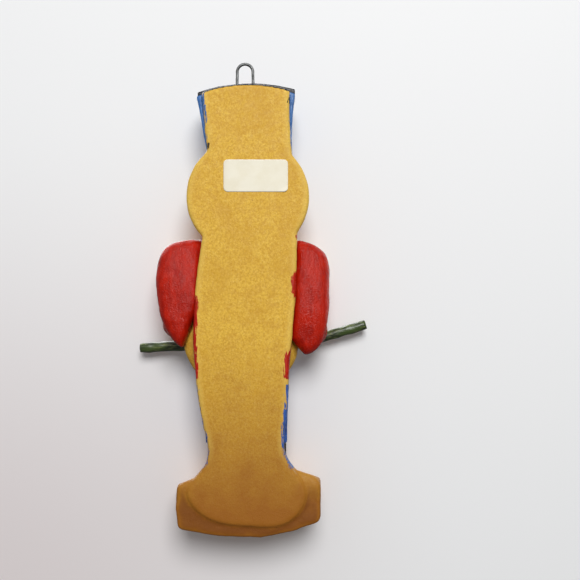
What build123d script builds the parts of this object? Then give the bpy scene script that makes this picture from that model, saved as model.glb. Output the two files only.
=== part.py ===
"""Salt-dough toy soldier drummer, a flat-backed hanging ornament.

A rolled slab of dough is the whole back. The modelled front pieces are pressed onto it: hat, face,
jacket, arms, drum, legs and boots, over a thick base block. A bent paper clip in the hat is the hanger.

Frame: +Z up the figure, front towards -Y, flat back towards +Y. The origin is the inside top of the
wire loop, on the middle plane of the slab. The figure's own left is +X. Outlines are (X, Z) points.
"""

import os
from math import cos, radians, sin

from build123d import *

os.makedirs("parts", exist_ok=True)

# ---- driving dimensions, mm ----
slab_thickness = 7.0
back_y = slab_thickness / 2  # the flat back
slab_front_y = -slab_thickness / 2  # the front pieces sit on this plane
ledge_y = back_y - 2.2  # hat shell, sleeves and base stop this far below the back
edge_round = 1.3  # rolled edge of the slab

wire_diameter = 1.2
loop_half_width = 3.1
wire_depth = 21.0  # how far down the legs reach

label_size = (25.4, 12.7)
label_thickness = 0.1
label_centre = (-4.4, -44.3)

head_centre = (-1.2, -52.2)
head_radius = 24.2

face_radii = (22.0, 19.0)
face_depth = 11.0
face_round = 9.0
eye_spread = 7.2
cheek_spread = 10.2

hat_depth = 8.5
hat_round = 5.5
hat_bottom_z = -37.6
band_back_y = -0.5  # the dark top band stops short of the back
band_proud = 1.1
jacket_depth = 6.5
jacket_round = 4.2
strap_proud = 0.9
belt_half_width = 2.0
button_radius = 1.5
leg_depth = 8.0
leg_round = 6.0
stripe_proud = 0.6
boot_sole_z = -164.0

drum_centre = (2.1, -111.2)
drum_radii = (23.2, 19.4)
drum_tilt = 6.0
drum_back_y = -5.5
drum_face_y = -14.5
hoop_radius = 1.8
hoop_inset = 2.0  # the hoop lies this far inside the drum's edge
skin_thickness = 1.2

stick_radius = 1.95
stick_y = -18.7
stick_tip_radius = 3.1
hand_radius = 4.7
cuff_radius = 5.3
cuff_length = 2.6

base_front_y = -18.5
shoulder_slope = 0.24  # how fast the base's shoulders drop towards the front
full_depth = 60.0  # deeper than the whole figure, for cutting right through
smallest_share = 0.1  # a cut-off bit smaller than this share of the piece is a crumb


# ---- shared shapes ----
def facing(y):
    """The plane at this Y that faces the front; its own x and y are the model's X and Z."""
    return Plane.XZ.offset(-y)


def closed_outline(*corners):
    """A face inside straight lines between the (X, Z) corners."""
    with BuildSketch(mode=Mode.PRIVATE) as shape:
        with BuildLine():
            Polyline(*corners, close=True)
        make_face()
    return shape.sketch


def oval(centre, radii, tilt=0.0):
    """An ellipse in X and Z."""
    with BuildSketch(mode=Mode.PRIVATE) as shape:
        with Locations(Location((centre[0], centre[1]), tilt)):
            Ellipse(*radii)
    return shape.sketch


def pillow(outline, start_y, depth, rounding, proud=0.0):
    """A flat-backed lump: the outline raised towards the front, with a round front edge."""
    with BuildPart(mode=Mode.PRIVATE) as lump:
        with BuildSketch(facing(start_y)):
            add(outline)
            if proud:
                offset(amount=proud)
        extrude(amount=depth + proud)
        if rounding:
            fillet(lump.faces().sort_by(Axis.Y)[0].edges(), rounding + proud)
    return lump.part


def ball(centre, radii):
    """An egg-shaped lump with its own radius along X, Y and Z."""
    with BuildPart(mode=Mode.PRIVATE) as egg:
        Sphere(1)
        scale(by=radii)
    return Location(centre) * egg.part


def sausage(start, end, start_radius, end_radius):
    """A round-ended roll of dough from one point to another."""
    axis = Plane(origin=start, z_dir=Vector(*end) - Vector(*start))
    length = (Vector(*end) - Vector(*start)).length
    with BuildPart(mode=Mode.PRIVATE) as roll:
        with BuildSketch(axis):
            Circle(start_radius)
        with BuildSketch(axis.offset(length)):
            Circle(end_radius)
        loft()
        with Locations(start):
            Sphere(start_radius)
        with Locations(end):
            Sphere(end_radius)
    return roll.part


def strap(under, over, region):
    """A strip of dough over a lump: what lies between it and a slightly larger one, inside the region."""
    with BuildPart(mode=Mode.PRIVATE) as strip:
        add(over)
        with BuildSketch(facing(back_y)):
            add(region)
        extrude(amount=full_depth, mode=Mode.INTERSECT)
        add(under, mode=Mode.SUBTRACT)
    return strip.part


def write(piece, name, *neighbours):
    """Cuts away what the neighbours already fill, drops any crumbs, and writes the named piece."""
    with BuildPart() as cut:
        add(piece)
        for other in neighbours:
            add(other, mode=Mode.SUBTRACT)
    largest = max(solid.volume for solid in cut.part.solids())
    with BuildPart() as finished:
        for solid in cut.part.solids():
            if solid.volume > smallest_share * largest:
                add(solid)
    finished.part.label = name
    export_step(finished.part, f"parts/{name}.step")
    return finished.part


# ---- paper-clip hanger ----
with BuildPart() as clip:
    leg_top = -wire_diameter / 2 - loop_half_width
    with BuildLine():
        left_leg = Line((loop_half_width + 0.3, 0, -wire_depth), (loop_half_width, 0, leg_top + 0.9))
        top_arc = ThreePointArc(
            left_leg @ 1, (0, 0, wire_diameter / 2), (-loop_half_width, 0, leg_top + 0.9)
        )
        Line(top_arc @ 1, (-loop_half_width - 0.4, 0, -wire_depth + 4))
    with BuildSketch(Plane(origin=left_leg @ 0, z_dir=left_leg % 0)):
        Circle(wire_diameter / 2)
    sweep(transition=Transition.ROUND)
hanger_wire = write(clip.part, "hanger_wire")

# ---- price label, let into the back so that the back stays one plane ----
with BuildPart() as sticker:
    with BuildSketch(facing(back_y - label_thickness)):
        with Locations(label_centre):
            RectangleRounded(*label_size, radius=1.7)
    extrude(amount=-label_thickness)
price_label = write(sticker.part, "price_label")

# ---- back slab: hat back, head back, body strip and flared foot, cut from one rolled sheet ----
with BuildPart() as slab:
    with BuildSketch(facing(slab_front_y)) as slab_outline:
        with BuildLine():
            hat_left = ThreePointArc((14.8, -34.6), (16.0, -23), (17.2, -11.2))
            hat_top = ThreePointArc(hat_left @ 1, (-1.5, -8.0), (-17.7, -10.4))
            hat_right = ThreePointArc(hat_top @ 1, (-17.8, -23), (-18.7, -36.1))
            head_right = ThreePointArc(
                hat_right @ 1, (head_centre[0] - head_radius, head_centre[1]), (-20.6, -66.6)
            )
            body_and_foot = Spline(
                head_right @ 1, (-20.6, -76), (-19.6, -98), (-17.7, -118), (-16.4, -140), (-17.2, -157.5),
                (-24.3, -168.5), (-18.5, -180.6), (-1.0, -182.8), (15.5, -179.2), (22.9, -169.5),
                (16.0, -159.5),
                (16.5, -142), (19.6, -120), (20.2, -102), (18.4, -80), (16.7, -68),
            )
            ThreePointArc(body_and_foot @ 1, (head_centre[0] + head_radius, head_centre[1]), hat_left @ 0)
        make_face()
        fillet(slab_outline.vertices(), 1.8)
    extrude(amount=-slab_thickness)
    fillet(slab.faces().sort_by(Axis.Y)[-1].edges(), edge_round)
back_slab = write(slab.part, "back_slab", hanger_wire, price_label)

# ---- base block, behind which the slab's foot stands proud ----
with BuildPart() as base:
    with BuildSketch(facing(ledge_y)) as base_outline:
        with BuildLine():
            Polyline(
                (26.9, -166.5), (27.6, -176), (26.8, -184.3), (11, -187.2), (-6, -187.6), (-20, -184.9),
                (-29.9, -181.2), (-30.1, -166), (-27, -162.9), (-17.6, -159.8), (16, -162.2), close=True,
            )
        make_face()
        fillet(base_outline.vertices(), 2.5)
    extrude(amount=ledge_y - base_front_y)
    fillet(base.faces().sort_by(Axis.Y)[-1].edges(), 1.6)
    fillet(base.faces().sort_by(Axis.Y)[0].edges(), 2.8)
    for shoulder, side_slope in (((26.9, ledge_y, -166.5), 0.39), ((-27.0, ledge_y, -162.9), -0.33)):
        split(bisect_by=Plane(origin=shoulder, z_dir=(side_slope, -shoulder_slope, 1)), keep=Keep.BOTTOM)
base_block = write(base.part, "base_block", back_slab)

# ---- hat: shell, dark top band, gilt bottom band, badge, plume ----
with BuildSketch() as hat_outline:
    with BuildLine():
        left_edge = ThreePointArc((14.5, hat_bottom_z), (16.6, -25), (19.1, -12.6))
        top_edge = ThreePointArc(left_edge @ 1, (-2.5, -9.0), (-19.9, -11.4))
        right_edge = ThreePointArc(top_edge @ 1, (-18.4, -25), (-18.8, hat_bottom_z))
        Line(right_edge @ 1, left_edge @ 0)
    make_face()

with BuildSketch() as band_outline:
    with BuildLine():
        lower_arc = ThreePointArc((19.1, -12.6), (-2.5, -9.0), (-19.9, -11.4))
        Line(lower_arc @ 1, (-19.8, -9.2))
        upper_arc = ThreePointArc((-19.8, -9.2), (-3.0, -6.8), (19.0, -10.4))
        Line(upper_arc @ 1, lower_arc @ 0)
    make_face()

hat_top_band = write(
    pillow(band_outline.sketch, band_back_y, band_back_y - slab_front_y + hat_depth + 1, 0),
    "hat_top_band", back_slab, hanger_wire,
)
hat_total_depth = ledge_y - slab_front_y + hat_depth
hat_front = pillow(hat_outline.sketch, ledge_y, hat_total_depth, hat_round)
hat_shell = write(hat_front, "hat_shell", back_slab, hanger_wire, hat_top_band)
hat_bottom_band = write(
    strap(
        hat_front, pillow(hat_outline.sketch, ledge_y, hat_total_depth, hat_round, band_proud),
        closed_outline((13.9, -33.2), (-17.9, -33.6), (-17.9, -37.4), (13.9, -37.0)),
    ),
    "hat_bottom_band", back_slab, hat_shell,
)

# ---- head and face ----
face_centre = (head_centre[0], -51.8)
face_outline = oval(face_centre, face_radii)
face_front_y = slab_front_y - face_depth
with BuildPart() as face_lump:
    add(pillow(face_outline, slab_front_y, face_depth, face_round))
    split(bisect_by=Plane.XY.offset(hat_bottom_z), keep=Keep.BOTTOM)
face = write(face_lump.part, "face")
peak_plane = Plane(origin=(head_centre[0] - 0.4, -9.0, hat_bottom_z), x_dir=(1, 0, 0), z_dir=(0, -0.5, 1))
with BuildPart() as peak:
    with BuildSketch(peak_plane.offset(-1.1)):
        Ellipse(16.2, 12.5)
    extrude(amount=2.2)
    split(bisect_by=facing(slab_front_y - 4), keep=Keep.TOP)
hat_visor = write(peak.part, "hat_visor", face, hat_shell, hat_bottom_band)

nose = write(ball((head_centre[0], face_front_y, -53.6), (3.3, 3.4, 3.0)), "nose", face)
with BuildPart() as eye_pair:
    for side in (-1, 1):
        add(ball((head_centre[0] + side * eye_spread, face_front_y + 0.3, -49.4), (1.8, 2.0, 2.4)))
eyes = write(eye_pair.part, "eyes", face)
with BuildPart() as cheek_pair:
    for side in (-1, 1):
        add(ball((head_centre[0] + side * cheek_spread, face_front_y + 1.4, -57.6), (3.9, 3.0, 3.7)))
cheeks = write(cheek_pair.part, "cheeks", face)
with BuildPart() as lips:
    with BuildSketch(facing(face_front_y + 1)):
        with Locations((head_centre[0], -55.0)):
            Circle(7.6)
            Circle(6.0, mode=Mode.SUBTRACT)
        with Locations((head_centre[0], -51.6)):
            Rectangle(20, 16, mode=Mode.SUBTRACT)
    extrude(amount=2.1)
mouth = write(lips.part, "mouth", face, nose, cheeks)

hair = {}
for name, side in (("hair_left", 1), ("hair_right", -1)):
    with BuildPart() as curls:
        for angle in (24, 6, -12):
            lock_x = head_centre[0] + side * 19.4 * cos(radians(angle))
            lock_z = head_centre[1] + 1 + 19.4 * sin(radians(angle))
            add(ball((lock_x, face_front_y + 4.6, lock_z), (3.4, 3.6, 3.9)))
    hair[name] = write(curls.part, name, back_slab, face, hat_shell, hat_bottom_band, hat_visor)

with BuildSketch() as chin_region:
    with Locations((head_centre[0], -47.0)):
        Ellipse(17.8, 20.6)
        Ellipse(15.8, 18.4, mode=Mode.SUBTRACT)
    with Locations((head_centre[0], -40)):
        Rectangle(40, 14, mode=Mode.SUBTRACT)
chin_strap = write(
    strap(
        pillow(face_outline, slab_front_y, face_depth, face_round),
        pillow(
            oval(face_centre, (face_radii[0] + strap_proud, face_radii[1] + strap_proud)), slab_front_y,
            face_depth + strap_proud, face_round,
        ),
        chin_region.sketch,
    ),
    "chin_strap", back_slab, face, hair["hair_left"], hair["hair_right"], hat_visor, cheeks, mouth,
)

# ---- jacket, collar, shoulder belts, plate and buttons ----
jacket_outline = closed_outline(
    (11.5, -69.5), (16.4, -71.5), (18.3, -82), (19.5, -98), (19.4, -112), (17.9, -125.5), (-16.9, -125.5),
    (-17.8, -112), (-18.9, -98), (-19.9, -82), (-19.0, -71.5), (-13.5, -69.5),
)
jacket_body = pillow(jacket_outline, slab_front_y, jacket_depth, jacket_round)
jacket_over = pillow(jacket_outline, slab_front_y, jacket_depth, jacket_round, strap_proud)

with BuildPart() as drum:
    with BuildSketch(facing(drum_back_y)):
        add(oval(drum_centre, drum_radii, drum_tilt))
    extrude(amount=drum_back_y - drum_face_y)
    fillet(drum.faces().sort_by(Axis.Y)[-1].edges(), 3.2)
    fillet(drum.faces().sort_by(Axis.Y)[0].edges(), 1.0)
drum_shell = write(drum.part, "drum_shell")

collar_outline = closed_outline((9.6, -67.6), (11.2, -73.0), (-13.4, -73.0), (-11.8, -67.6))
collar = write(pillow(collar_outline, slab_front_y, 8.6, 1.8), "collar", face, chin_strap)
jacket_front = write(jacket_body, "jacket_front", drum_shell, collar, face)

belt_crossing = (-0.6, -82.4)
belts = {}
for name, high, low in (
    ("shoulder_belt_left", (13.2, -71.5), (-15.5, -94.5)),
    ("shoulder_belt_right", (-14.2, -71.5), (15.5, -94.5)),
):
    run = Vector(*low) - Vector(*high)
    across = Vector(-run.Y, run.X).normalized() * belt_half_width
    region = closed_outline(
        (high[0] + across.X, high[1] + across.Y), (low[0] + across.X, low[1] + across.Y),
        (low[0] - across.X, low[1] - across.Y), (high[0] - across.X, high[1] - across.Y),
    )
    belts[name] = write(
        strap(jacket_body, jacket_over, region),
        name, back_slab, jacket_front, collar, drum_shell, face, *belts.values(),
    )
jacket_face_y = slab_front_y - jacket_depth
with BuildPart() as plate:
    with BuildSketch(facing(jacket_face_y)):
        with Locations(belt_crossing):
            Ellipse(3.4, 4.2)
    extrude(amount=2.4)
    fillet(plate.faces().sort_by(Axis.Y)[0].edges(), 0.8)
belt_plate = write(plate.part, "belt_plate", *belts.values())
with BuildPart() as studs:
    with BuildSketch(facing(jacket_face_y)):
        with Locations((-0.8, -75.4), (-8.6, -82.6), (7.2, -82.4), (-8.2, -88.2), (6.8, -88.0)):
            Circle(button_radius)
    extrude(amount=button_radius)
    fillet(studs.faces().group_by(Axis.Y)[0].edges(), 0.6)
jacket_buttons = write(studs.part, "jacket_buttons", *belts.values())

# ---- drumsticks: green, leaning differently, each with a ball end on the skin ----
stick_ends = {
    "left": ((5.0, -112.0), (45.2, -114.0), (25.0, -112.9)),
    "right": ((-4.6, -116.6), (-49.3, -102.8), (-29.0, -109.8)),
}
sticks = {}
stick_tips = {}
for side, (inner, tip, middle) in stick_ends.items():
    with BuildPart() as stick:
        with BuildLine():
            bow = ThreePointArc(
                (inner[0], stick_y, inner[1]), (middle[0], stick_y, middle[1]), (tip[0], stick_y, tip[1])
            )
        with BuildSketch(Plane(origin=bow @ 0, z_dir=bow % 0)):
            Circle(stick_radius)
        sweep()
        fillet(stick.faces().filter_by(GeomType.PLANE).edges(), 0.5)
    sticks[side] = write(stick.part, f"{side}_drumstick")
    with BuildPart() as knob:
        with Locations((inner[0], stick_y, inner[1])):
            Sphere(stick_tip_radius, rotation=(0, 0, -90))
    stick_tips[side] = write(knob.part, f"{side}_stick_tip", sticks[side])

# ---- drum trim: rope hoop and skin ----
hoop_outer = [radius - hoop_inset + hoop_radius for radius in drum_radii]
hoop_inner = [radius - hoop_inset - hoop_radius for radius in drum_radii]
with BuildPart() as hoop:
    with BuildSketch(facing(drum_face_y)):
        add(oval(drum_centre, hoop_outer, drum_tilt))
        add(oval(drum_centre, hoop_inner, drum_tilt), mode=Mode.SUBTRACT)
    extrude(amount=2 * hoop_radius - 0.4)
    fillet(hoop.faces().sort_by(Axis.Y)[0].edges(), 1.5)
drum_hoop = write(hoop.part, "drum_hoop", *sticks.values())
with BuildPart() as skin:
    with BuildSketch(facing(drum_face_y)):
        add(oval(drum_centre, hoop_inner, drum_tilt))
    extrude(amount=skin_thickness)
drum_skin = write(skin.part, "drum_skin", drum_hoop, *stick_tips.values())

# ---- arms: puffed sleeve, folded forearm, cuff and hand ----
left_arm_outline = [
    (17.9, -69.4), (24.0, -69.6), (31.6, -72.2), (35.2, -80.0), (35.3, -90.0), (33.4, -100.5), (28.6, -109.4),
    (25.4, -112.2),
]
right_arm_outline = [
    (-20.4, -69.4), (-27.0, -71.4), (-32.2, -75.6), (-33.3, -83.0), (-33.3, -96.5), (-31.8, -105.6),
    (-29.0, -112.2), (-24.0, -115.0),
]
arms = {
    "left": (
        left_arm_outline, ((22.4, -103.5), (17.9, -94.0)),
        (27.4, -8.5, -102.8), (21.6, -15.0, -106.2), (16.6, -19.3, -112.4),
    ),
    "right": (
        right_arm_outline, ((-18.7, -109.0),),
        (-26.6, -8.5, -106.0), (-19.2, -15.2, -108.8), (-12.9, -19.3, -114.2),
    ),
}
under_arms = (back_slab, jacket_front, drum_shell, drum_hoop, drum_skin, *sticks.values(), *belts.values())
sleeves = {}
hands = {}
for side, (outer_points, inner_points, elbow, wrist, palm) in arms.items():
    with BuildSketch() as arm_outline:
        with BuildLine():
            outer = Spline(*outer_points)
            Polyline(outer @ 1, *inner_points, outer @ 0)
        make_face()
    with BuildPart() as sleeve:
        add(pillow(arm_outline.sketch, 0, 14.0, 5.0))
        fillet(sleeve.faces().sort_by(Axis.Y)[-1].edges(), 3.0)
        add(sausage(elbow, wrist, 6.2, 4.8))
    with BuildPart() as hand:
        with Locations(palm):
            Sphere(hand_radius, rotation=(35, 0, 50))
    hands[side] = write(hand.part, f"{side}_hand", drum_skin, sticks[side])
    reach = (Vector(*palm) - Vector(*wrist)).normalized()
    with BuildPart() as cuff:
        with BuildSketch(Plane(origin=Vector(*wrist) + reach * 1.0, z_dir=reach)):
            Circle(cuff_radius)
        extrude(amount=cuff_length)
    cuff_piece = write(
        cuff.part, f"{side}_cuff", drum_shell, drum_hoop, drum_skin, sticks[side], hands[side]
    )
    sleeves[side] = write(sleeve.part, f"{side}_sleeve", *under_arms, cuff_piece, hands[side])

# ---- epaulettes ----
for side, centre in (("left", (25.0, -77.0)), ("right", (-25.6, -78.0))):
    with BuildPart() as epaulette:
        with BuildSketch(facing(-11)):
            add(oval(centre, (6.6, 4.6)))
        extrude(amount=5.2)
        fillet(epaulette.faces().sort_by(Axis.Y)[0].edges(), 1.6)
    write(epaulette.part, f"{side}_epaulette", sleeves[side], jacket_front)

# ---- legs, side stripes and boots ----
legs = {
    "left": ((17.6, -125.5), (16.0, -151.0), (-0.4, -151.0), (-0.4, -125.5)),
    "right": ((-0.8, -125.5), (-0.8, -151.0), (-16.7, -151.0), (-17.2, -125.5)),
}
boot_centres = {"left": 7.6, "right": -9.0}
for side, corners in legs.items():
    outline = closed_outline(*corners)
    leg_lump = pillow(outline, slab_front_y, leg_depth, leg_round)
    leg = write(leg_lump, f"{side}_trouser_leg", drum_shell, jacket_front)
    centre_x = boot_centres[side]
    outward = 1 if side == "left" else -1
    stripe_region = closed_outline(
        (centre_x + outward * 2.8, -131), (centre_x + outward * 5.0, -131),
        (centre_x + outward * 4.6, -151), (centre_x + outward * 2.4, -151),
    )
    write(
        strap(leg_lump, pillow(outline, slab_front_y, leg_depth, leg_round, stripe_proud), stripe_region),
        f"{side}_trouser_stripe", back_slab, leg, drum_shell, jacket_front,
    )
    with BuildPart() as boot:
        with BuildSketch(Plane.XY.offset(boot_sole_z)):
            with Locations((centre_x, -8.6)):
                Ellipse(7.4, 5.1)
        extrude(amount=13)
        with BuildSketch(Plane.XY.offset(boot_sole_z)):
            with Locations((centre_x, -10.6)):
                Ellipse(6.9, 6.4)
        extrude(amount=7.6)
        fillet(boot.faces().sort_by(Axis.Z)[-1].edges(), 0.8)
    write(boot.part, f"{side}_boot", base_block, back_slab)

# ---- hat trimmings ----
hat_face_y = slab_front_y - hat_depth
with BuildPart() as badge:
    with BuildSketch(facing(hat_face_y)):
        with Locations((-1.6, -24.5)):
            Circle(4.6)
    extrude(amount=1.8)
    fillet(badge.faces().sort_by(Axis.Y)[0].edges(), 0.9)
hat_badge = write(badge.part, "hat_badge", hat_shell)
plume_holder = write(
    ball((-1.8, hat_face_y - 0.6, -18.4), (2.2, 2.2, 1.8)), "plume_holder", hat_shell, hat_badge
)
with BuildPart() as feather:
    add(ball((-1.9, hat_face_y - 1.4, -12.4), (3.5, 3.4, 5.0)))
hat_plume = write(feather.part, "hat_plume", hat_shell, hat_top_band, plume_holder)
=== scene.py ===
"""Salt-dough toy soldier drummer: hand-made surfaces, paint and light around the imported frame.

Metres, in the frame's own axes: +Z up the figure, the flat back faces +Y, the front faces -Y.
"""

import math

import bmesh
import bpy
import numpy as np
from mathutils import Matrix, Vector, noise
from mathutils.bvhtree import BVHTree


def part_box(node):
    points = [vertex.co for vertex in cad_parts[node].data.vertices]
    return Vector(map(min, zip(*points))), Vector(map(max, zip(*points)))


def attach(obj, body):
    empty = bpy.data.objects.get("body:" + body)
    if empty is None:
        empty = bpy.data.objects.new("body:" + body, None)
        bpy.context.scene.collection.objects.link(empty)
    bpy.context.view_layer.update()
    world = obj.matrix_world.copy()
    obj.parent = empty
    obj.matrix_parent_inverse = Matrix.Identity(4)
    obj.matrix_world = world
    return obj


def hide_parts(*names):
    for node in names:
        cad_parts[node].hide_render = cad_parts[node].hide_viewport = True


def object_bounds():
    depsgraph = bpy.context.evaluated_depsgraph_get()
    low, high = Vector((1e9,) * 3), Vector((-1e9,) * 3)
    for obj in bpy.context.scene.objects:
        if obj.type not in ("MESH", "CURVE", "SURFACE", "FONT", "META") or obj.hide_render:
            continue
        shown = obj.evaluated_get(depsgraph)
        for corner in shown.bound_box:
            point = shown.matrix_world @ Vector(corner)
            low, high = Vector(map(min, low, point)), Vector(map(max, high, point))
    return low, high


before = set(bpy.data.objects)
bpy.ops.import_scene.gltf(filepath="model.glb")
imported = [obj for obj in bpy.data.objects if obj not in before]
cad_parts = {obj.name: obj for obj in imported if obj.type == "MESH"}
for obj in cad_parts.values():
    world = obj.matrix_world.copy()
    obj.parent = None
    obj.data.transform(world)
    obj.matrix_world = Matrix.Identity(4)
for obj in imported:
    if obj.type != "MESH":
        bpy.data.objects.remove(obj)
cad_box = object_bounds()

MM = 0.001
slab_low, slab_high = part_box("back_slab")
slab_thickness = slab_high.y - slab_low.y
base_low, base_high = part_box("base_block")
back_y = slab_high.y

# where one paint stops and the next begins on the sides of the back slab, from the pieces in front
hat_hem_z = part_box("hat_shell")[0].z
collar_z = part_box("left_sleeve")[1].z + 3.0 * MM
jacket_hem_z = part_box("jacket_front")[0].z
sole_z = base_high.z - 1.0 * MM


# ---- geometry helpers ----
def new_object(name, mesh):
    piece = bpy.data.objects.new(name, mesh)
    bpy.context.scene.collection.objects.link(piece)
    return piece


def object_from(name, mesh):
    """The bmesh as an object of its own; the bmesh is freed."""
    data = bpy.data.meshes.new(name)
    mesh.to_mesh(data)
    mesh.free()
    return new_object(name, data)


def frozen(piece):
    """The piece's modifiers applied to its mesh."""
    graph = bpy.context.evaluated_depsgraph_get()
    mesh = bpy.data.meshes.new_from_object(piece.evaluated_get(graph))
    piece.modifiers.clear()
    piece.data = mesh
    return piece


def soft_copy(name, nodes, voxel, rounds, swell=0.0):
    """The CAD nodes' shape as one even mesh, rounded off as dough is; voxel in mm.
    swell, in mm, makes up for what the rounding takes off, so that neighbours still touch."""
    joined = bmesh.new()
    for node in nodes:
        joined.from_mesh(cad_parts[node].data)
    bmesh.ops.remove_doubles(joined, verts=joined.verts, dist=0.001 * MM)
    joined.normal_update()
    for vert in joined.verts:
        vert.co += vert.normal * swell * MM
    piece = object_from(name, joined)
    remesh = piece.modifiers.new("remesh", "REMESH")
    remesh.mode = "VOXEL"
    remesh.voxel_size = voxel * MM
    smooth = piece.modifiers.new("smooth", "SMOOTH")
    smooth.factor = 0.5
    smooth.iterations = rounds
    return frozen(piece)


def points_of(piece):
    points = np.empty(len(piece.data.vertices) * 3)
    piece.data.vertices.foreach_get("co", points)
    return points.reshape(-1, 3)


def normals_of(piece):
    normals = np.empty(len(piece.data.vertices) * 3)
    piece.data.vertices.foreach_get("normal", normals)
    return normals.reshape(-1, 3)


def place_points(piece, points):
    piece.data.vertices.foreach_set("co", points.ravel())
    piece.data.update()


def noise_at(points, wavelength, seed):
    """Smooth noise, about -1 to 1, over the points; wavelength in mm."""
    shift = Vector((seed * 3.7, seed * 1.3, seed * 2.1))
    scale = 1.0 / (wavelength * MM)
    return np.array([noise.noise(Vector(p) * scale + shift) for p in points])


def roughen(piece, layers, seed=1, hold_back=False):
    """Pushes the surface in and out by layers of (height, wavelength) in mm.
    hold_back keeps the flat back that the baking tray gave."""
    points = points_of(piece)
    height = sum(tall * MM * noise_at(points, wide, seed + i) for i, (tall, wide) in enumerate(layers))
    if hold_back:
        depth = np.clip((back_y - points[:, 1]) / (1.6 * MM), 0.12, 1.0)
        height = height * depth
    place_points(piece, points + normals_of(piece) * height[:, None])
    return piece


def set_values(piece, name, values):
    layer = piece.data.attributes.new(name, "FLOAT", "POINT")
    layer.data.foreach_set("value", np.asarray(values, np.float32))


def near_others(piece, own_nodes, reach, flush=()):
    """For each point, from 0 to 1, how close it lies to another piece, fading over reach in mm."""
    points = points_of(piece)
    margin = reach * MM
    low, high = points.min(0) - margin, points.max(0) + margin
    corners, faces = [], []
    for node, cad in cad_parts.items():
        if node in own_nodes or node in flush:
            continue
        node_low, node_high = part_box(node)
        if any(node_low[i] > high[i] or node_high[i] < low[i] for i in range(3)):
            continue
        start = len(corners)
        corners.extend(v.co for v in cad.data.vertices)
        faces.extend([start + i for i in polygon.vertices] for polygon in cad.data.polygons)
    if not faces:
        return np.zeros(len(points))
    tree = BVHTree.FromPolygons(corners, faces)
    found = (tree.find_nearest(Vector(p), margin) for p in points)
    return np.array([0.0 if hit[0] is None else 1.0 - hit[3] / margin for hit in found])


def tube(name, path, radii, sides=12, seed=0, unevenness=0.0):
    """A closed tube along the path's points, in metres, with its own radius at each."""
    mesh = bmesh.new()
    path = [Vector(p) for p in path]
    rings = []
    across = Vector((0, 1, 0))
    for i, centre in enumerate(path):
        along = (path[min(i + 1, len(path) - 1)] - path[max(i - 1, 0)]).normalized()
        across = (across - along * across.dot(along)).normalized()
        over = along.cross(across)
        ring = []
        for k in range(sides):
            turn = 2 * math.pi * k / sides
            direction = across * math.cos(turn) + over * math.sin(turn)
            wobble = 1 + unevenness * noise.noise(direction * 1.6 + Vector((i * 0.22, seed * 5.1, seed)))
            ring.append(mesh.verts.new(centre + direction * radii[i] * wobble))
        rings.append(ring)
    for low, high in zip(rings, rings[1:]):
        for k in range(sides):
            mesh.faces.new((low[k], low[(k + 1) % sides], high[(k + 1) % sides], high[k]))
    mesh.faces.new(list(reversed(rings[0])))
    mesh.faces.new(rings[-1])
    return object_from(name, mesh)


def joined_as(name, parts):
    """Several mesh objects made into one."""
    mesh = bmesh.new()
    for part in parts:
        mesh.from_mesh(part.data)
        bpy.data.objects.remove(part)
    return object_from(name, mesh)


def shade_smooth(piece):
    piece.data.polygons.foreach_set("use_smooth", [True] * len(piece.data.polygons))


# ---- material helpers ----
def make(tree, kind, inputs=None, **settings):
    """A shader node with its settings, and its inputs set or linked."""
    node = tree.nodes.new(kind)
    for key, value in settings.items():
        setattr(node, key, value)
    for key, value in (inputs or {}).items():
        if isinstance(value, bpy.types.NodeSocket):
            tree.links.new(value, node.inputs[key])
        else:
            node.inputs[key].default_value = value
    return node


def texture_noise(tree, where, size, detail=3.0, roughness=0.55, stretch=None):
    """Noise from 0 to 1 whose features are about size mm across."""
    if stretch:
        where = make(tree, "ShaderNodeMapping", {"Vector": where, "Scale": stretch}).outputs["Vector"]
    found = make(
        tree, "ShaderNodeTexNoise",
        {"Vector": where, "Scale": 1.0 / (size * MM), "Detail": detail, "Roughness": roughness},
    )
    return found.outputs["Fac"]


def ramp(tree, value, low, high, out_low=0.0, out_high=1.0, smooth=True):
    """value carried from low..high to out_low..out_high."""
    node = make(
        tree, "ShaderNodeMapRange",
        {"Value": value, "From Min": low, "From Max": high, "To Min": out_low, "To Max": out_high},
        interpolation_type="SMOOTHSTEP" if smooth else "LINEAR",
    )
    return node.outputs["Result"]


def share(tree, value, low, high, most):
    """How much of a colour to lay on: none where value is under low, most where it is over high."""
    return maths(tree, "MULTIPLY", ramp(tree, value, low, high), most)


def maths(tree, operation, first, second=0.0):
    node = make(tree, "ShaderNodeMath", {0: first, 1: second}, operation=operation)
    return node.outputs[0]


def blend_colour(tree, factor, first, second, mode="MIX"):
    node = make(tree, "ShaderNodeMix", {0: factor, 6: first, 7: second}, data_type="RGBA", blend_type=mode)
    return node.outputs[2]


def start_material(name):
    material = bpy.data.materials.new(name)
    material.use_nodes = True
    tree = material.node_tree
    tree.nodes.clear()
    where = make(tree, "ShaderNodeTexCoord").outputs["Object"]
    return material, tree, where


def attribute(tree, name):
    return make(tree, "ShaderNodeAttribute", attribute_name=name).outputs["Fac"]


def close_material(material, tree, colour, roughness, height, strength=0.5, **constants):
    """The shader: colour and roughness by nodes, relief from height, and what is the same all over."""
    inputs = {"Base Color": colour, "Roughness": roughness}
    if height is not None:
        bump = make(tree, "ShaderNodeBump", {"Height": height, "Strength": strength, "Distance": 0.3 * MM})
        inputs["Normal"] = bump.outputs["Normal"]
    shader = make(tree, "ShaderNodeBsdfPrincipled", inputs)
    for key, value in constants.items():
        shader.inputs[key.replace("_", " ")].default_value = value
    surface = make(tree, "ShaderNodeOutputMaterial")
    tree.links.new(shader.outputs["BSDF"], surface.inputs["Surface"])
    return material


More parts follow.
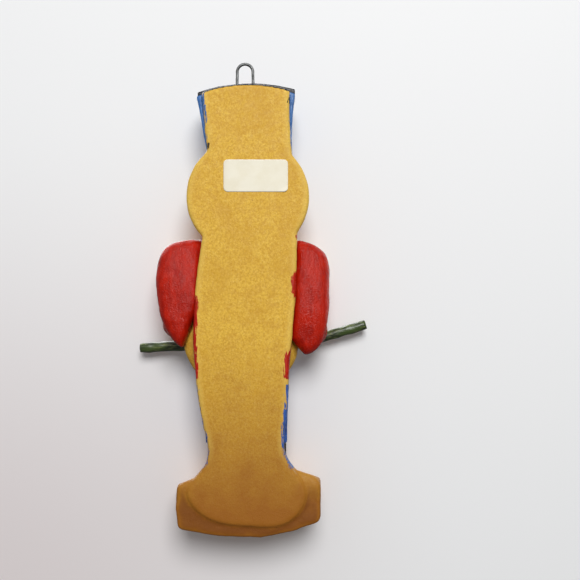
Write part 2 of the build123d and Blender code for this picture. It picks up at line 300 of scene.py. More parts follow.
LIGHT_DOUGH = (0.82, 0.510, 0.058, 1)
MID_DOUGH = (0.62, 0.325, 0.022, 1)
BROWN_DOUGH = (0.33, 0.108, 0.008, 1)
# painted shade colour for where pieces meet
CONTACT_SHADE_DOUGH = (0.19, 0.055, 0.006, 1)
TAN_DOUGH = (0.61, 0.315, 0.026, 1)
SUNNY_DOUGH = (0.90, 0.64, 0.16, 1)
# painted highlight colour for the slab's rounded edges
RIM_HIGHLIGHT_DOUGH = (0.90, 0.66, 0.16, 1)


def dough_colour(tree, where):
    """Baked dough: golden and mottled, browner towards the foot, with painted shade where pieces meet and a
    painted highlight on the slab's rounded edges.
    """
    broad = texture_noise(tree, where, 12.0, 2.0)
    felt = texture_noise(tree, where, 0.85, 4.0, 0.75)
    pale = texture_noise(tree, where, 0.65, 3.0, 0.7, stretch=(1.3, 1.0, 0.8))
    specks = texture_noise(tree, where, 1.9, 2.0, 0.5)
    height_z = make(tree, "ShaderNodeSeparateXYZ", {"Vector": where}).outputs["Z"]
    mottled = blend_colour(tree, ramp(tree, felt, 0.36, 0.66), LIGHT_DOUGH, MID_DOUGH)
    mottled = blend_colour(tree, share(tree, broad, 0.42, 0.72, 0.5), mottled, MID_DOUGH)
    clouds = texture_noise(tree, where, 4.2, 4.0, 0.65)
    mottled = blend_colour(tree, share(tree, clouds, 0.44, 0.70, 0.55), mottled, TAN_DOUGH)
    mottled = blend_colour(tree, share(tree, pale, 0.50, 0.78, 0.55), mottled, SUNNY_DOUGH)
    mottled = blend_colour(tree, share(tree, specks, 0.66, 0.82, 0.35), mottled, BROWN_DOUGH)
    drift = maths(tree, "MULTIPLY", maths(tree, "SUBTRACT", broad, 0.5), 36 * MM)
    uneven_z = maths(tree, "ADD", height_z, drift)
    baked = ramp(tree, uneven_z, jacket_hem_z + 15 * MM, base_low.z + 11 * MM, 0.0, 0.95, False)
    mottled = blend_colour(tree, baked, mottled, BROWN_DOUGH)
    # painted highlight: the slab's rounded side edges lightened, as if they catch the light
    rim = maths(tree, "MULTIPLY", attribute(tree, "rim"), 0.45)
    mottled = blend_colour(tree, rim, mottled, RIM_HIGHLIGHT_DOUGH)
    # painted shade: darker where the piece lies close to another piece
    contact_shade = ramp(tree, attribute(tree, "contact_shade"), 0.25, 1.0, 0.0, 0.75)
    return blend_colour(tree, contact_shade, mottled, CONTACT_SHADE_DOUGH)


def dough_relief(tree, where):
    fine = texture_noise(tree, where, 0.45, 4.0, 0.65)
    pores = texture_noise(tree, where, 1.3, 2.0, 0.5)
    return maths(tree, "ADD", fine, maths(tree, "MULTIPLY", pores, 0.7))


def dough_material():
    material, tree, where = start_material("baked_dough")
    roughness = ramp(tree, texture_noise(tree, where, 3.0), 0.3, 0.7, 0.42, 0.62)
    return close_material(
        material, tree, dough_colour(tree, where), roughness, dough_relief(tree, where), 0.5,
        Coat_Weight=0.06, Coat_Roughness=0.35, Specular_IOR_Level=0.3,
    )


def paint_colour(tree, where, colour, dark):
    """Craft paint put on by brush over dough: uneven thickness, with painted shade where the piece lies close
    to another.
    """
    streaks = texture_noise(tree, where, 1.6, 3.0, 0.6, stretch=(1.0, 1.0, 0.28))
    patches = texture_noise(tree, where, 7.0, 2.0)
    uneven = maths(tree, "ADD", maths(tree, "MULTIPLY", streaks, 0.6), maths(tree, "MULTIPLY", patches, 0.4))
    mixed = blend_colour(tree, ramp(tree, uneven, 0.35, 0.7), colour, dark)
    # painted shade: the paint darkens where the piece lies close to another piece
    contact_shade = ramp(tree, attribute(tree, "contact_shade"), 0.35, 1.0, 0.0, 0.75)
    return blend_colour(tree, contact_shade, mixed, tuple(c * 0.25 for c in dark[:3]) + (1,))


def paint_relief(tree, where):
    skin = texture_noise(tree, where, 0.55, 3.0, 0.6)
    strokes = texture_noise(tree, where, 1.1, 2.0, 0.5, stretch=(1.0, 1.0, 0.25))
    return maths(tree, "ADD", skin, maths(tree, "MULTIPLY", strokes, 0.6))


def paint_material(name, colour, dark, rough=(0.26, 0.42), relief=0.5, coat=0.15, shine=0.22):
    material, tree, where = start_material(name)
    roughness = ramp(tree, texture_noise(tree, where, 2.2), 0.3, 0.7, *rough)
    return close_material(
        material, tree, paint_colour(tree, where, colour, dark), roughness, paint_relief(tree, where), relief,
        Coat_Weight=coat, Coat_Roughness=0.16, Specular_IOR_Level=shine,
    )


RED = ((0.52, 0.015, 0.003, 1), (0.33, 0.006, 0.001, 1))
HAT_BLUE = ((0.050, 0.170, 0.440, 1), (0.030, 0.105, 0.300, 1))
TROUSER_BLUE = ((0.045, 0.125, 0.420, 1), (0.024, 0.065, 0.250, 1))
BLACK = ((0.010, 0.010, 0.014, 1), (0.022, 0.022, 0.028, 1))
GOLD = ((0.62, 0.36, 0.06, 1), (0.42, 0.22, 0.03, 1))
PINK = ((0.72, 0.20, 0.15, 1), (0.62, 0.14, 0.10, 1))
BROWN = ((0.10, 0.035, 0.012, 1), (0.05, 0.016, 0.006, 1))
WHITE = ((0.82, 0.79, 0.70, 1), (0.70, 0.66, 0.55, 1))


def slab_material():
    """The back slab: bare dough, with each piece's paint carried raggedly round its sides."""
    material, tree, where = start_material("back_slab_dough_and_paint")
    bare = dough_colour(tree, where)
    ragged = texture_noise(tree, where, 1.0, 3.0, 0.7, stretch=(1.9, 1.0, 0.22))
    tufts = texture_noise(tree, where, 0.9, 3.0, 0.7, stretch=(1.0, 1.0, 0.5))
    wander = maths(tree, "ADD", maths(tree, "MULTIPLY", ragged, 5.0), maths(tree, "MULTIPLY", tufts, 2.0))
    wander = maths(tree, "SUBTRACT", wander, 3.5)
    colour = bare
    covered = None
    for layer, (light, dark) in (("blue", HAT_BLUE), ("red", RED), ("navy", TROUSER_BLUE), ("black", BLACK)):
        reach = maths(tree, "ADD", attribute(tree, layer), wander)
        mask = ramp(tree, reach, -0.08, 0.14)
        colour = blend_colour(tree, mask, colour, paint_colour(tree, where, light, dark))
        covered = mask if covered is None else maths(tree, "MAXIMUM", covered, mask)
    bare_rough = ramp(tree, texture_noise(tree, where, 3.0), 0.3, 0.7, 0.45, 0.64)
    roughness = maths(tree, "SUBTRACT", bare_rough, maths(tree, "MULTIPLY", covered, 0.22))
    height = maths(tree, "ADD", dough_relief(tree, where), maths(tree, "MULTIPLY", covered, 0.5))
    return close_material(
        material, tree, colour, roughness, height, 0.5,
        Coat_Weight=0.05, Coat_Roughness=0.35, Specular_IOR_Level=0.3,
    )


CORD_TURNS = 26


def stick_material():
    """Dark green stain on whittled wood, with the yellow grain showing on the ridges."""
    material, tree, where = start_material("green_stained_wood")
    grain = texture_noise(tree, where, 1.0, 4.0, 0.65, stretch=(0.16, 1.0, 0.9))
    patches = texture_noise(tree, where, 3.2, 3.0, 0.6, stretch=(0.4, 1.0, 1.0))
    deep, mid, pale = (0.012, 0.022, 0.005, 1), (0.050, 0.082, 0.016, 1), (0.26, 0.31, 0.085, 1)
    colour = blend_colour(tree, ramp(tree, patches, 0.38, 0.6), deep, mid)
    colour = blend_colour(tree, share(tree, grain, 0.52, 0.72, 0.75), colour, pale)
    roughness = ramp(tree, grain, 0.3, 0.7, 0.28, 0.5)
    return close_material(
        material, tree, colour, roughness, grain, 0.8, Coat_Weight=0.25, Coat_Roughness=0.25,
    )


def hoop_material():
    """The drum's hoop: blue, with a white cord painted slantwise round it."""
    material, tree, where = start_material("drum_hoop_paint")
    low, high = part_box("drum_hoop")
    middle = (low + high) / 2
    offset = make(tree, "ShaderNodeVectorMath", {0: where, 1: tuple(middle)}, operation="SUBTRACT")
    axes = make(tree, "ShaderNodeSeparateXYZ", {"Vector": offset.outputs["Vector"]})
    squashed = maths(tree, "MULTIPLY", axes.outputs["Z"], (high.x - low.x) / (high.z - low.z))
    turn = maths(tree, "ARCTAN2", squashed, axes.outputs["X"])
    slant = maths(tree, "MULTIPLY", axes.outputs["Y"], 260.0)
    shake = maths(tree, "MULTIPLY", texture_noise(tree, where, 3.0, 2.0), 1.2)
    turns = maths(tree, "MULTIPLY", turn, CORD_TURNS)
    cord = maths(tree, "SINE", maths(tree, "ADD", turns, maths(tree, "ADD", slant, shake)))
    mask = ramp(tree, cord, 0.50, 0.66)
    blue = paint_colour(tree, where, *TROUSER_BLUE)
    white = paint_colour(tree, where, (0.80, 0.77, 0.68, 1), (0.68, 0.64, 0.54, 1))
    colour = blend_colour(tree, mask, blue, white)
    height = maths(tree, "ADD", paint_relief(tree, where), maths(tree, "MULTIPLY", mask, 0.5))
    roughness = ramp(tree, texture_noise(tree, where, 2.2), 0.3, 0.7, 0.26, 0.42)
    return close_material(
        material, tree, colour, roughness, height, 0.5, Coat_Weight=0.15, Coat_Roughness=0.16,
        Specular_IOR_Level=0.22,
    )


def wire_material():
    material, tree, where = start_material("paper_clip_wire")
    drawn = texture_noise(tree, where, 0.25, 3.0, 0.6, stretch=(1.0, 1.0, 0.12))
    tarnish = texture_noise(tree, where, 1.5, 3.0)
    bright, dull = (0.16, 0.165, 0.165, 1), (0.07, 0.07, 0.068, 1)
    colour = blend_colour(tree, ramp(tree, tarnish, 0.4, 0.7), bright, dull)
    roughness = ramp(tree, drawn, 0.3, 0.7, 0.28, 0.46)
    return close_material(material, tree, colour, roughness, drawn, 0.25, Metallic=0.9)


def label_material():
    material, tree, where = start_material("label_paper")
    fibres = texture_noise(tree, where, 0.35, 4.0, 0.7)
    yellowed = texture_noise(tree, where, 7.0, 3.0)
    low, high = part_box("price_label")
    along = make(tree, "ShaderNodeSeparateXYZ", {"Vector": where}).outputs["X"]
    margin = ramp(tree, along, high.x - 2.5 * MM, high.x, 0.0, 0.35)
    colour = blend_colour(tree, ramp(tree, yellowed, 0.35, 0.7), (0.90, 0.85, 0.70, 1), (0.86, 0.80, 0.63, 1))
    colour = blend_colour(tree, share(tree, fibres, 0.5, 0.8, 0.10), colour, (0.6, 0.54, 0.4, 1))
    colour = blend_colour(tree, margin, colour, (0.78, 0.70, 0.50, 1))
    return close_material(material, tree, colour, ramp(tree, fibres, 0.3, 0.7, 0.55, 0.7), fibres, 0.12)


hoop_skin = hoop_material()
slab_skin = slab_material()
paints = {
    "blue_hat_paint": paint_material("hat_blue_paint", *HAT_BLUE),
    "dark_paint": paint_material("black_paint", *BLACK, rough=(0.2, 0.34)),
    "gold_paint": paint_material("gold_paint", *GOLD, rough=(0.28, 0.42)),
    "red_paint": paint_material("red_paint", *RED, rough=(0.18, 0.28), relief=1.0, coat=0.0, shine=0.22),
    "pink_paint": paint_material("pink_paint", *PINK),
    "brown_paint": paint_material("brown_paint", *BROWN),
    "white_paint": paint_material("white_paint", *WHITE),
    "blue_trouser_paint": paint_material("trouser_blue_paint", *TROUSER_BLUE),
    "green_paint": stick_material(),
    "red_knob_paint": paint_material("red_knob_paint", *RED, rough=(0.18, 0.28)),
    "wire": wire_material(),
    "label_paper": label_material(),
    "dough": dough_material(),
}


def finish_piece(piece, nodes, material, contact_shade_reach=1.6, flush=(), own_contact_shade=0.0):
    """Gives the piece painted shade where it lies close to other pieces, its material and body, and hides the
    CAD nodes it stands for.
    Against the flush nodes it gets no painted shade."""
    # painted shade: a value from 0 to 1 for how close each point lies to another piece
    set_values(piece, "contact_shade", np.maximum(near_others(piece, nodes, contact_shade_reach, flush), own_contact_shade))
    piece.data.materials.clear()
    piece.data.materials.append(material)
    shade_smooth(piece)
    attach(piece, "root")
    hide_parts(*nodes)
    return piece


def finish_detail(piece, slot, contact_shade=0.0):
    """Gives a piece that stands for no CAD node an even amount of painted shade, its material and body."""
    set_values(piece, "contact_shade", np.full(len(piece.data.vertices), contact_shade))
    piece.data.materials.append(paints[slot])
    shade_smooth(piece)
    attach(piece, "root")


# ---- back slab ----
def side_distance(points):
    """How far each point lies inside the slab's left or right side, in mm, and which side that is."""
    rows = np.round((points[:, 2] - slab_low.z) / (0.5 * MM)).astype(int)
    right = np.full(rows.max() + 1, np.inf)
    left = np.full(rows.max() + 1, -np.inf)
    np.minimum.at(right, rows, points[:, 0])
    np.maximum.at(left, rows, points[:, 0])
    to_right = (points[:, 0] - right[rows]) / MM
    to_left = (left[rows] - points[:, 0]) / MM
    return np.minimum(to_right, to_left), to_left < to_right


def between(z, low, high, fade=1.5):
    """1 where z lies between low and high, in metres, fading over a stretch in mm."""
    soft = fade * MM
    return np.clip((z - low) / soft, 0, 1) * np.clip((high - z) / soft, 0, 1)


def blend_foot_into_base(piece):
    """Lifts the ledge round the foot and smooths the step there, as if pressed together by thumb."""
    points = points_of(piece)
    depth = (back_y - points[:, 1]) / MM
    low_down = np.clip((base_high.z - 1.5 * MM - points[:, 2]) / (5 * MM), 0, 1)
    lift = np.clip((depth - 1.0) / 0.9, 0, 1) * np.clip((8 - depth) / 5, 0, 1)
    points[:, 1] += 0.8 * MM * lift * low_down
    place_points(piece, points)
    group = piece.vertex_groups.new(name="foot")
    for i in np.flatnonzero((low_down > 0) & (depth < 7)):
        group.add([int(i)], float(low_down[i]), "REPLACE")
    thumb = piece.modifiers.new("thumb", "SMOOTH")
    thumb.factor = 0.5
    thumb.iterations = 26
    thumb.vertex_group = "foot"
    frozen(piece)


def build_back_and_base():
    """The slab and the base are one dough: the slab's foot stands a little proud of the base."""
    piece = soft_copy("back_and_base_dough", ["back_slab", "base_block"], 0.5, 5, swell=0.12)
    blend_foot_into_base(piece)
    roughen(piece, [(0.30, 14.0), (0.20, 5.0), (0.07, 1.6)], seed=3, hold_back=True)
    points = points_of(piece)
    inside, on_left = side_distance(points)
    depth = (back_y - points[:, 1]) / MM
    z = points[:, 2]
    down_side = np.clip(depth - 1.5, -3, 2.4)
    above_base = np.clip((z - base_high.z) / (10 * MM), 0, 1)
    # painted highlight: how strongly each point on the slab's side edges above the base is lightened
    set_values(piece, "rim", np.clip(1 - inside / 3.2, 0, 1) * above_base * np.clip(1 - depth / 4, 0, 1))

    def layer(low, high, left_reach, right_reach):
        reach = np.where(on_left, left_reach(z), right_reach(z))
        value = np.maximum(reach - inside, down_side)
        value = np.where(depth > slab_thickness / MM + 0.6, -6.0, value)
        return value - 6.0 * (1 - between(z, low, high, 1.2))

    def steady(amount):
        return lambda z: np.full(len(z), amount)

    def smear(thin, thick, *stretches):
        return lambda z: thin + (thick - thin) * sum(between(z, low, high, 4.0) for low, high in stretches)

    top = slab_high.z
    set_values(piece, "blue", layer(
        hat_hem_z, top + 2 * MM, smear(0.2, 1.3, (top - 18 * MM, top + 4 * MM)), steady(-0.2),
    ))
    set_values(piece, "red", layer(
        jacket_hem_z, collar_z,
        smear(-0.8, 1.5, (jacket_hem_z - 2 * MM, jacket_hem_z + 36 * MM), (collar_z - 5 * MM, collar_z + MM)),
        smear(
            -1.2, 1.9, (jacket_hem_z - 2 * MM, jacket_hem_z + 15 * MM), (top - 86 * MM, top - 72 * MM),
            (collar_z - 5 * MM, collar_z + MM),
        ),
    ))
    set_values(piece, "navy", layer(
        sole_z, jacket_hem_z, steady(0.3), smear(0.4, 1.15, (jacket_hem_z - 26 * MM, jacket_hem_z + 4 * MM)),
    ))
    side_black = smear(-3.0, 0.9, (hat_hem_z, hat_hem_z + 10 * MM))(z)
    other_black = smear(-3.0, 0.5, (top - 12 * MM, top - 2 * MM))(z)
    on_top = np.where(normals_of(piece)[:, 2] > 0.45, 1.5, -6.0) * between(z, top - 6 * MM, top + 2 * MM, 1.0)
    side = np.where(on_left, side_black, other_black) - inside
    black = np.maximum(side, np.where(on_top > 0, on_top, -6))
    set_values(piece, "black", np.where(z > hat_hem_z, black, -6.0))
    hidden = ("price_label", "hanger_wire", "hat_shell", "left_sleeve", "right_sleeve", "jacket_front")
    # painted shadow: a dark band along the step where the slab's foot stands proud of the base, given as the
    # piece's own painted shade
    step = np.clip(1 - np.abs(depth - 1.25) / 0.55, 0, 1)
    step = step * np.clip((base_high.z - 2 * MM - z) / (12 * MM), 0, 1)
    finish_piece(piece, ["back_slab", "base_block"], slab_skin, 1.2, hidden, step)


# ---- pieces that are one lump of dough: voxel and smoothing, lumps, paint ----
LUMPS = {
    # node: (voxel mm, smoothing rounds, lump height mm, material slot)
    "drum_shell": (0.45, 8, 0.25, "dough"),
    "left_hand": (0.3, 5, 0.12, "dough"),
    "right_hand": (0.3, 5, 0.12, "dough"),
    "nose": (0.2, 4, 0.05, "dough"),
    "face": (0.45, 8, 0.15, "dough"),
    "hat_shell": (0.45, 6, 0.25, "blue_hat_paint"),
    "hat_top_band": (0.3, 6, 0.15, "dark_paint"),
    "hat_bottom_band": (0.22, 3, 0.04, "gold_paint"),
    "hat_visor": (0.3, 5, 0.08, "dark_paint"),
    "hat_badge": (0.22, 4, 0.04, "gold_paint"),
    "plume_holder": (0.18, 3, 0.03, "gold_paint"),
    "chin_strap": (0.2, 2, 0.02, "dark_paint"),
    "eyes": (0.15, 3, 0.0, "dark_paint"),
    "cheeks": (0.2, 4, 0.0, "pink_paint"),
    "mouth": (0.15, 3, 0.0, "red_paint"),
    "collar": (0.25, 4, 0.06, "gold_paint"),
    "jacket_front": (0.45, 7, 0.2, "red_paint"),
    "shoulder_belt_left": (0.2, 2, 0.02, "white_paint"),
    "shoulder_belt_right": (0.2, 2, 0.02, "white_paint"),
    "belt_plate": (0.2, 3, 0.03, "gold_paint"),
    "jacket_buttons": (0.15, 4, 0.0, "gold_paint"),
    "left_sleeve": (0.5, 12, 0.35, "red_paint"),
    "right_sleeve": (0.5, 12, 0.35, "red_paint"),
    "left_cuff": (0.25, 5, 0.05, "white_paint"),
    "right_cuff": (0.25, 5, 0.05, "white_paint"),
    "drum_hoop": (0.3, 5, 0.08, "blue_trouser_paint"),
    "drum_skin": (0.35, 3, 0.05, "white_paint"),
    "left_stick_tip": (0.22, 4, 0.06, "red_knob_paint"),
    "right_stick_tip": (0.22, 4, 0.06, "red_knob_paint"),
    "left_trouser_leg": (0.4, 7, 0.2, "blue_trouser_paint"),
    "right_trouser_leg": (0.4, 7, 0.2, "blue_trouser_paint"),
    "left_trouser_stripe": (0.18, 2, 0.02, "gold_paint"),
    "right_trouser_stripe": (0.18, 2, 0.02, "gold_paint"),
    "left_boot": (0.35, 9, 0.12, "dark_paint"),
    "right_boot": (0.35, 9, 0.12, "dark_paint"),
    "left_epaulette": (0.25, 5, 0.08, "gold_paint"),
    "right_epaulette": (0.25, 5, 0.08, "gold_paint"),
    "hat_plume": (0.25, 4, 0.25, "red_paint"),
    "hair_left": (0.25, 4, 0.2, "brown_paint"),
    "hair_right": (0.25, 4, 0.2, "brown_paint"),
}


# swell in mm of the pieces that are pressed hard against the slab
SNUG = {"left_sleeve": 0.45, "right_sleeve": 0.45, "hat_shell": 0.3, "jacket_front": 0.3, "drum_shell": 0.15}


def dome_sleeve(piece):
    """The back of a sleeve is rounded, not flat: its middle stands up and its ends fall away."""
    points = points_of(piece)
    low, high = points.min(0), points.max(0)
    middle, half = (low + high) / 2, (high - low) / 2
    across = (points[:, 0] - middle[0]) / half[0]
    along = (points[:, 2] - middle[2]) / half[2]
    facing_back = np.clip((points[:, 1] + 8 * MM) / (8 * MM), 0, 1)
    points[:, 1] += facing_back * (1.2 - 1.5 * along - 2.8 * along ** 2 - 1.3 * across ** 2) * MM
    place_points(piece, points)


def build_lumps():
    for seed, (node, (voxel, rounds, lump, slot)) in enumerate(LUMPS.items()):
        piece = soft_copy(node + "_dough", [node], voxel, rounds, swell=SNUG.get(node, 0.06))
        if node.endswith("sleeve"):
            dome_sleeve(piece)
        if lump:
            roughen(piece, [(lump, 9.0), (lump * 0.5, 3.5), (lump * 0.18, 1.2)], seed=20 + seed)
        material = hoop_skin if node == "drum_hoop" else paints[slot]
        finish_piece(piece, [node], material, 1.3, ("back_slab", "price_label"))


# ---- drumsticks ----
STICK_STEPS = 60


def build_sticks():
    """Whittled sticks: uneven rods that bow a little and are worn round at the outer end."""
    for side, seed, bow in (("left", 4, -0.4), ("right", 9, 1)):
        node = side + "_drumstick"
        low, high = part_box(node)
        middle_y = (low.y + high.y) / 2
        thick = (high.y - low.y) / 2
        corners = np.array([v.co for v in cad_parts[node].data.vertices])
        ends = [corners[np.abs(corners[:, 0] - x) < 0.8 * MM][:, 2].mean() for x in (low.x, high.x)]
        outer = STICK_STEPS if side == "left" else 0
        path, radii = [], []
        for i in range(STICK_STEPS + 1):
            t = i / STICK_STEPS
            sag = 0.5 * MM * math.sin(math.pi * t) * bow
            x = low.x + (high.x - low.x) * i / STICK_STEPS
            path.append((x, middle_y, ends[0] + (ends[1] - ends[0]) * t - sag))
            radius = thick * (1.08 + 0.13 * noise.noise(Vector((i * 0.16, seed, 0.0))))
            from_tip = abs(i - outer) / STICK_STEPS
            radii.append(radius * (0.90 + 2.5 * from_tip) if from_tip < 0.04 else radius)
        piece = tube(node + "_wood", path, radii, sides=18, seed=seed, unevenness=0.13)
        finish_piece(piece, [node], paints["green_paint"])


# ---- hanger wire and price label ----
def build_wire():
    piece = soft_copy("hanger_wire_clip", ["hanger_wire"], 0.12, 3)
    finish_piece(piece, ["hanger_wire"], paints["wire"], 0.3)


def build_label():
    """A thin paper label with round corners, one of them just lifting."""
    low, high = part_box("price_label")
    centre = (low + high) / 2
    half_x, half_z = (high.x - low.x) / 2, (high.z - low.z) / 2
    corner, columns, rows = 1.7 * MM, 64, 34
    mesh = bmesh.new()
    grid = []
    for side_y in (0, 1):
        sheet = []
        for j in range(rows + 1):
            line = []
            for i in range(columns + 1):
                x = half_x * (2 * i / columns - 1)
                z = half_z * (2 * j / rows - 1)
                over_x = max(abs(x) - (half_x - corner), 0)
                over_z = max(abs(z) - (half_z - corner), 0)
                reach = math.hypot(over_x, over_z)
                if over_x > 0 and over_z > 0 and reach > 0:
                    square = max(over_x, over_z)
                    x = math.copysign(half_x - corner + over_x * square / reach, x)
                    z = math.copysign(half_z - corner + over_z * square / reach, z)
                lift = 0.10 * MM * noise.noise(Vector((x, 0, z)) / (6 * MM) + Vector((7, 0, 0)))
                lift += 0.30 * MM * max(0.0, (-x / half_x + -z / half_z) / 2 - 0.80) / 0.2
                lift += 0.16 * MM * max(0.0, (x / half_x + z / half_z) / 2 - 0.85) / 0.15
                y = back_y + (0.10 * MM if side_y == 0 else 0.22 * MM) + max(lift, -0.05 * MM)
                line.append(mesh.verts.new((centre.x + x, y, centre.z + z)))
            sheet.append(line)
        grid.append(sheet)
    for side_y, sheet in enumerate(grid):
        for j in range(rows):
            for i in range(columns):
                face = [sheet[j][i], sheet[j][i + 1], sheet[j + 1][i + 1], sheet[j + 1][i]]
                mesh.faces.new(face if side_y == 0 else reversed(face))
    rim = [(0, i) for i in range(columns)] + [(j, columns) for j in range(rows)]
    rim += [(rows, i) for i in range(columns, 0, -1)] + [(j, 0) for j in range(rows, 0, -1)]
    for (j, i), (k, m) in zip(rim, rim[1:] + rim[:1]):
        mesh.faces.new((grid[0][k][m], grid[0][j][i], grid[1][j][i], grid[1][k][m]))
    bmesh.ops.recalc_face_normals(mesh, faces=mesh.faces)
    piece = object_from("price_label_paper", mesh)
    finish_piece(piece, ["price_label"], paints["label_paper"], 0.2)


def front_of(node):
    """A finder of the Y of the node's front at an X and Z."""
    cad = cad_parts[node].data
    tree = BVHTree.FromPolygons([v.co for v in cad.vertices], [list(p.vertices) for p in cad.polygons])

    def find(x, z):
        hit = tree.ray_cast(Vector((x, -60 * MM, z)), Vector((0, 1, 0)))[0]
        return None if hit is None else hit.y
    return find


def build_fringes():
    """Short gold strands hanging from the lower outer half of each epaulette."""
    for side, outward in (("left", 1), ("right", -1)):
        low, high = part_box(side + "_epaulette")
        centre, half = (low + high) / 2, (high - low) / 2
        front = front_of(side + "_sleeve")
        strands = []
        for k in range(11):
            angle = math.radians(-150 + 13.5 * k)
            across, down = math.cos(angle) * outward, math.sin(angle)
            path, radii = [], []
            for i in range(7):
                t = i / 6
                x = centre.x + across * (half.x * 0.86 + t * 1.2 * MM)
                z = centre.z + down * half.z * 0.86 - t * 3.0 * MM
                surface_y = front(x, z)
                if surface_y is None:
                    break
                lift = (0.55 + 0.3 * math.sin(math.pi * t)) * MM
                path.append((x, max(surface_y - lift, low.y + 0.6 * MM * (1 - t)), z))
                radii.append((0.62 - 0.16 * t) * MM)
            if len(path) > 3:
                strands.append(tube("strand", path, radii, sides=9))
        piece = joined_as(side + "_epaulette_fringe", strands)
        finish_detail(piece, "gold_paint", 0.15)


def build_glints():
    """A dab of white paint on each eye."""
    low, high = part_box("eyes")
    dabs = bmesh.new()
    for x in (low.x + 1.25 * MM, high.x - 2.35 * MM):
        centre = Vector((x, low.y + 0.12 * MM, high.z - 1.5 * MM))
        made = bmesh.ops.create_icosphere(dabs, subdivisions=3, radius=0.5 * MM)
        for vert in made["verts"]:
            vert.co = centre + Vector((vert.co.x, vert.co.y * 0.6, vert.co.z))
    finish_detail(object_from("eye_glints", dabs), "white_paint")


def build_brows():
    """Two short painted eyebrows, a little way above the eyes."""
    low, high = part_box("eyes")
    face_front_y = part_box("face")[0].y
    strokes = []
    for side, centre_x in ((1, high.x - 1.8 * MM), (-1, low.x + 1.8 * MM)):
        path, radii = [], []
        for i in range(13):
            t = i / 6 - 1
            height_z = high.z + (2.3 - 0.9 * t * t - 0.25 * t * side) * MM
            path.append((centre_x + t * 2.5 * MM, face_front_y + (0.10 + 0.25 * t * t) * MM, height_z))
            radii.append((0.52 - 0.28 * t * t) * MM)
        strokes.append(tube("brow", path, radii, sides=12))
    finish_detail(joined_as("eyebrows", strokes), "brown_paint")


build_back_and_base()
build_lumps()
build_sticks()
build_wire()
build_label()
build_glints()
build_brows()
build_fringes()


# ---- camera: level with the middle of the figure, square on to its flat back ----
camera_distance = 0.300
camera_x = -17.9 * MM
camera_z = -89.3 * MM
camera_data = bpy.data.cameras.new("camera")
camera_data.lens = 47.3
camera_data.sensor_width = 36.0
camera = bpy.data.objects.new("camera", camera_data)
bpy.context.scene.collection.objects.link(camera)
camera.location = (camera_x, back_y + camera_distance, camera_z)
camera.rotation_euler = (math.radians(90), 0, math.radians(180))
bpy.context.scene.camera = camera


# ---- stage: the pale table under the face-down figure, a floor, and soft light ----
def floor_material():
    """A plain pale floor with a glow of its own, so that it meets the walls without a line."""
    material, tree, where = start_material("floor_laminate")
    tint = texture_noise(tree, where, 60.0, 2.0)
    colour = blend_colour(tree, tint, (0.22, 0.22, 0.225, 1), (0.25, 0.25, 0.255, 1))
    shader = make(tree, "ShaderNodeBsdfPrincipled", {"Base Color": colour, "Roughness": 0.7})
    shader.inputs["Specular IOR Level"].default_value = 0.1
    shader.inputs["Emission Color"].default_value = (0.97, 0.97, 1.0, 1)
    shader.inputs["Emission Strength"].default_value = 0.50
    surface = make(tree, "ShaderNodeOutputMaterial")
    tree.links.new(shader.outputs["BSDF"], surface.inputs["Surface"])
    return material


def table_material():
    """Plain white laminate with a painted shadow, darker towards the lower corner on the figure's left; clear
    from behind.
    """
    material, tree, where = start_material("table_laminate")
    # painted shadow: the table's colour darkens towards a point near the lower corner on the figure's left
    away = make(tree, "ShaderNodeVectorMath", {0: where, 1: (0.125, 0.0, -0.235)}, operation="DISTANCE")
    unshadowed = ramp(tree, away.outputs["Value"], 0.02, 0.235)
    colour = blend_colour(tree, unshadowed, (0.76, 0.70, 0.70, 1), (0.90, 0.905, 0.91, 1))
    shader = make(tree, "ShaderNodeBsdfPrincipled", {"Base Color": colour, "Roughness": 0.6})
    shader.inputs["Specular IOR Level"].default_value = 0.2
    behind = make(tree, "ShaderNodeNewGeometry").outputs["Backfacing"]
    clear = make(tree, "ShaderNodeBsdfTransparent").outputs["BSDF"]
    result = make(tree, "ShaderNodeMixShader", {0: behind, 1: shader.outputs["BSDF"], 2: clear})
    surface = make(tree, "ShaderNodeOutputMaterial")
    tree.links.new(result.outputs["Shader"], surface.inputs["Surface"])
    return material


def stage_plane(name, corners, material):
    data = bpy.data.meshes.new(name)
    data.from_pydata(corners, [], [tuple(range(len(corners)))])
    plane = new_object(name, data)
    data.materials.append(material)
    return plane


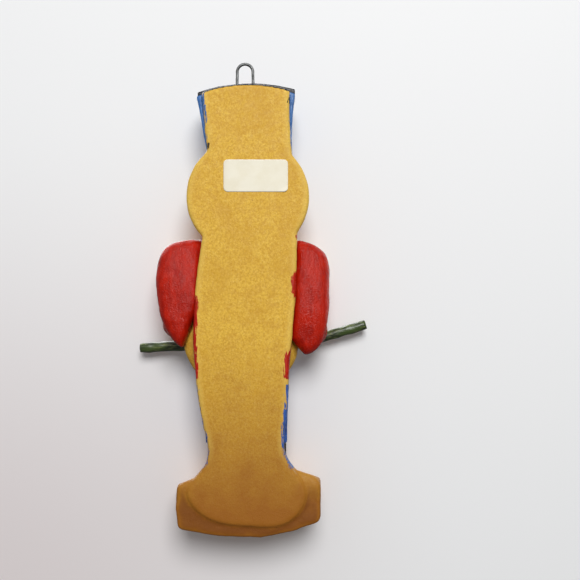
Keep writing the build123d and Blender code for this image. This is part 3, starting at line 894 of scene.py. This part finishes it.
table_y = cad_box[0].y - 0.6 * MM
half_view = (camera_distance + back_y - table_y) * camera_data.sensor_width / 2 / camera_data.lens
floor_z = camera_z - 1.06 * half_view  # just past the lower edge of the camera's view
reach = 3.0
table = stage_plane(
    "table",
    [
        (reach, table_y, floor_z), (-reach, table_y, floor_z),
        (-reach, table_y, reach), (reach, table_y, reach),
    ],
    table_material(),
)
for ray in ("diffuse", "glossy", "transmission", "shadow"):
    setattr(table, "visible_" + ray, False)
floor = stage_plane(
    "floor",
    [(reach, -reach, floor_z), (reach, reach, floor_z), (-reach, reach, floor_z), (-reach, -reach, floor_z)],
    floor_material(),
)
floor.visible_diffuse = False
floor.visible_glossy = False


def soft_light(name, place, aim, size, power):
    data = bpy.data.lights.new(name, "AREA")
    data.shape = "DISK"
    data.size = size
    data.energy = power
    lamp = bpy.data.objects.new(name, data)
    bpy.context.scene.collection.objects.link(lamp)
    lamp.location = place
    lamp.rotation_euler = (Vector(aim) - Vector(place)).to_track_quat("-Z", "Y").to_euler()


middle = (camera_x, 0.0, camera_z)
soft_light("key", (-0.12, 0.99, 0.47), (0.0, 0.0, -0.09), 0.55, 10.3)
soft_light("front_key", (0.42, -0.95, 0.58), middle, 1.1, 11.5)
soft_light("front_fill", (-0.80, -0.85, 0.30), middle, 1.2, 4.5)


def build_world():
    """A pale room, brighter overhead; the walls the camera sees are a plain light grey."""
    world = bpy.data.worlds.new("pale_room")
    world.use_nodes = True
    tree = world.node_tree
    tree.nodes.clear()
    direction = make(tree, "ShaderNodeTexCoord").outputs["Generated"]
    upward = make(tree, "ShaderNodeSeparateXYZ", {"Vector": direction}).outputs["Z"]
    strength = ramp(tree, upward, -0.6, 0.8, 0.16, 0.43)
    room = make(tree, "ShaderNodeBackground", {"Color": (1.0, 1.0, 1.0, 1), "Strength": strength})
    wall = make(tree, "ShaderNodeBackground", {"Color": (0.62, 0.62, 0.635, 1), "Strength": 1.0})
    seen = make(tree, "ShaderNodeLightPath").outputs["Is Camera Ray"]
    mixed = make(tree, "ShaderNodeMixShader", {0: seen, 1: room.outputs[0], 2: wall.outputs[0]})
    surface = make(tree, "ShaderNodeOutputWorld")
    tree.links.new(mixed.outputs[0], surface.inputs["Surface"])
    return world


bpy.context.scene.world = build_world()
bpy.context.scene.view_settings.view_transform = "Standard"
